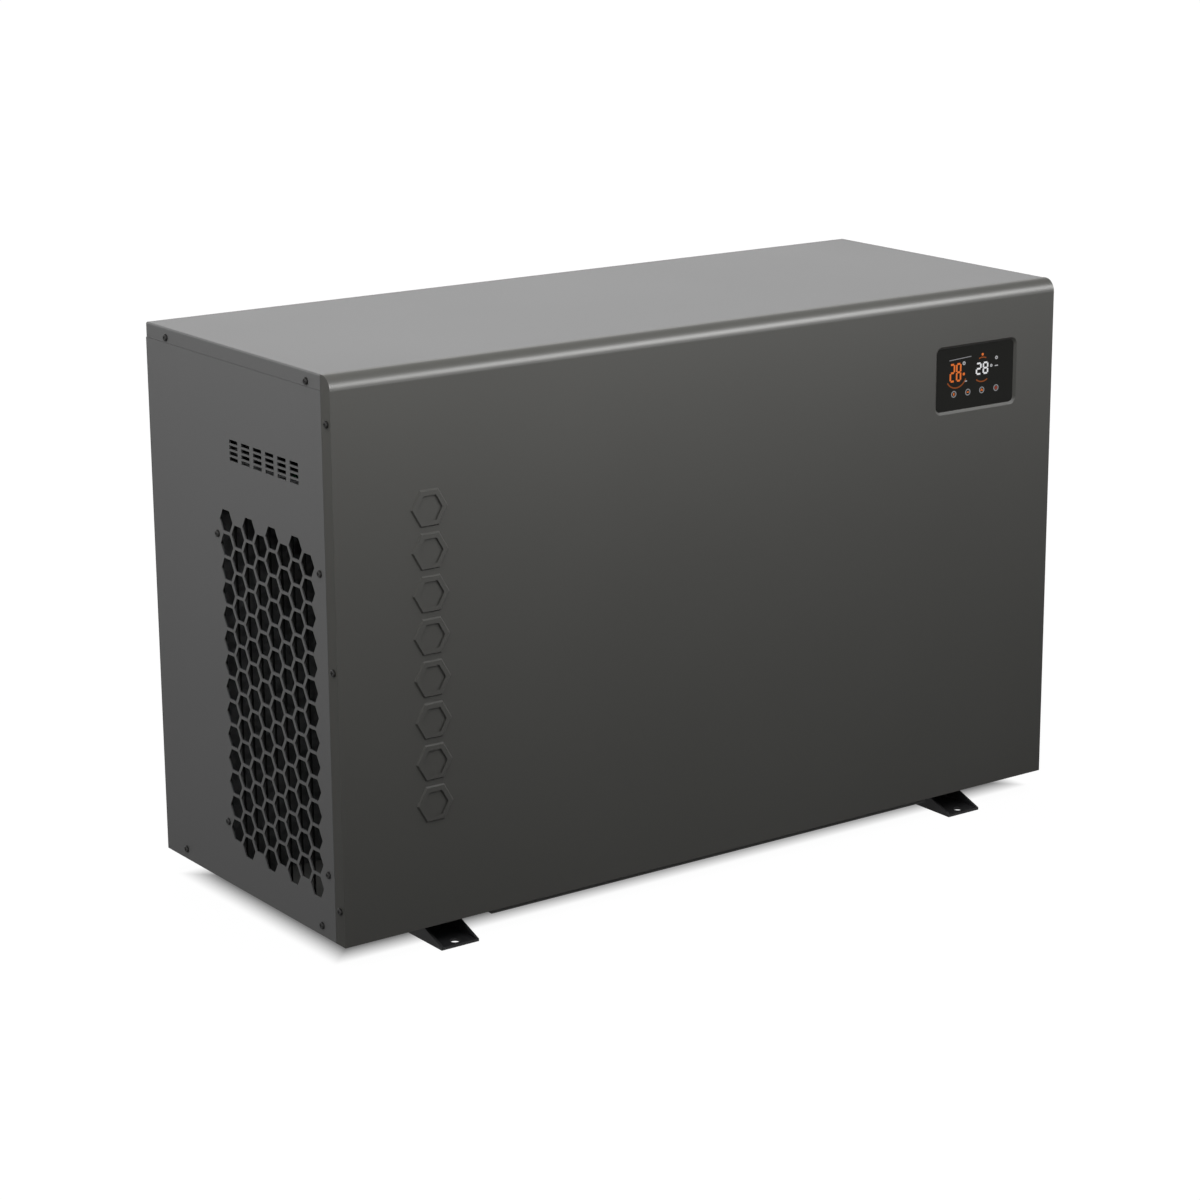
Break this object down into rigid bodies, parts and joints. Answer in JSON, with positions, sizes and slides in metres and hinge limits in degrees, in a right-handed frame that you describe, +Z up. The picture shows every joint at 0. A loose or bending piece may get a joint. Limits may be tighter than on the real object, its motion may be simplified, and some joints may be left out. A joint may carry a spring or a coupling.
{
  "type": "pool heat pump unit",
  "caption": "Cabinet-type pool heat pump on two channel feet, with a punched side grille, a front touch display, a centrifugal fan and water unions at the back.",
  "frame": {"origin": "centre of the floor bolt pattern, on the ground under the feet", "axes": "+X to the right seen from the display side, +Y to the back, +Z up"},
  "size_m": [1.0048, 0.472, 0.64],
  "materials": {
    "panel_paint": "satin textured powder coat",
    "foot_paint": "satin powder coat",
    "black_screw": "blackened",
    "bright_steel": "zinc plated",
    "galvanised_sheet": "galvanised",
    "guard_paint": "satin",
    "fan_plastic": "moulded",
    "motor_case": "cast",
    "fin_aluminium": "hydrophilic blue coating",
    "copper": "drawn tube",
    "brass": "machined",
    "compressor_paint": "gloss",
    "rubber": "moulded",
    "black_plastic": "moulded",
    "vessel_plastic": "moulded",
    "titanium": "drawn tube",
    "union_plastic": "moulded",
    "nut_plastic": "moulded",
    "circuit_board": "solder mask",
    "reactor_steel": "varnished",
    "display_glass": "gloss",
    "display_panel": "gloss"
  },
  "bodies": {
    "cabinet": {"accumulator_bracket": "galvanised_sheet", "base_pan": "panel_paint", "bell_mouth": "galvanised_sheet", "cable_glands": "black_plastic", "casing_screws": "black_screw", "circuit_boards": "circuit_board", "coil_headers": "copper", "coil_pipe": "copper", "compressor_base_plate": "galvanised_sheet", "compressor_grommets": "rubber", "compressor_shell": "compressor_paint", "compressor_studs": "bright_steel", "compressor_terminal_cover": "black_plastic", "discharge_pipe": "copper", "display_glass": "display_glass", "display_housing": "black_plastic", "display_panel": "display_panel", "drain_spigot": "black_plastic", "electrical_box": "galvanised_sheet", "electrical_lid": "galvanised_sheet", "evaporator_end_plates": "galvanised_sheet", "evaporator_fins": "fin_aluminium", "evaporator_hairpins": "copper", "evaporator_return_bends": "copper", "expansion_valve": "brass", "fan_bulkhead": "galvanised_sheet", "fan_motor": "motor_case", "fan_motor_bolts": "bright_steel", "fan_motor_bracket": "galvanised_sheet", "flow_switch_body": "black_plastic", "foot_bolts": "bright_steel", "foot_left": "foot_paint", "foot_right": "foot_paint", "four_way_valve": "brass", "front_panel": "panel_paint", "gas_pipe": "copper", "grille_screws": "black_screw", "heat_exchanger_shell": "vessel_plastic", "heat_sink": "motor_case", "left_panel": "panel_paint", "liquid_pipes": "copper", "outlet_guard": "guard_paint", "partition_plate": "galvanised_sheet", "reactor": "reactor_steel", "rear_panel": "panel_paint", "right_panel": "panel_paint", "suction_accumulator": "compressor_paint", "suction_pipe": "copper", "titanium_coil": "titanium", "top_cover": "panel_paint", "union_bodies": "union_plastic", "union_seals": "rubber", "union_tails": "union_plastic", "valve_solenoid": "black_plastic"},
    "fan": {"fan_impeller": "fan_plastic", "fan_shaft": "bright_steel", "fan_nut": "bright_steel"},
    "inlet_nut": {"inlet_union_nut": "nut_plastic"},
    "outlet_nut": {"outlet_union_nut": "nut_plastic"},
    "flow_paddle": {"flow_switch_paddle": "black_plastic"}
  },
  "joints": [
    {"name": "fan_spin", "type": "hinge", "parent": "cabinet", "child": "fan", "pos_m": [-0.17, 0, 0.255], "axis": [0, 1, 0], "continuous": true},
    {"name": "inlet_nut_turn", "type": "hinge", "parent": "cabinet", "child": "inlet_nut", "pos_m": [0.405, 0.215, 0.11], "axis": [0, 1, 0], "continuous": true},
    {"name": "outlet_nut_turn", "type": "hinge", "parent": "cabinet", "child": "outlet_nut", "pos_m": [0.405, 0.215, 0.345], "axis": [0, 1, 0], "continuous": true},
    {"name": "flow_paddle_swing", "type": "hinge", "parent": "cabinet", "child": "flow_paddle", "pos_m": [0.405, 0.159, 0.134], "axis": [1, 0, 0], "range_deg": [-20, 0], "stiffness_Nm_per_rad": 0.02}
  ]
}
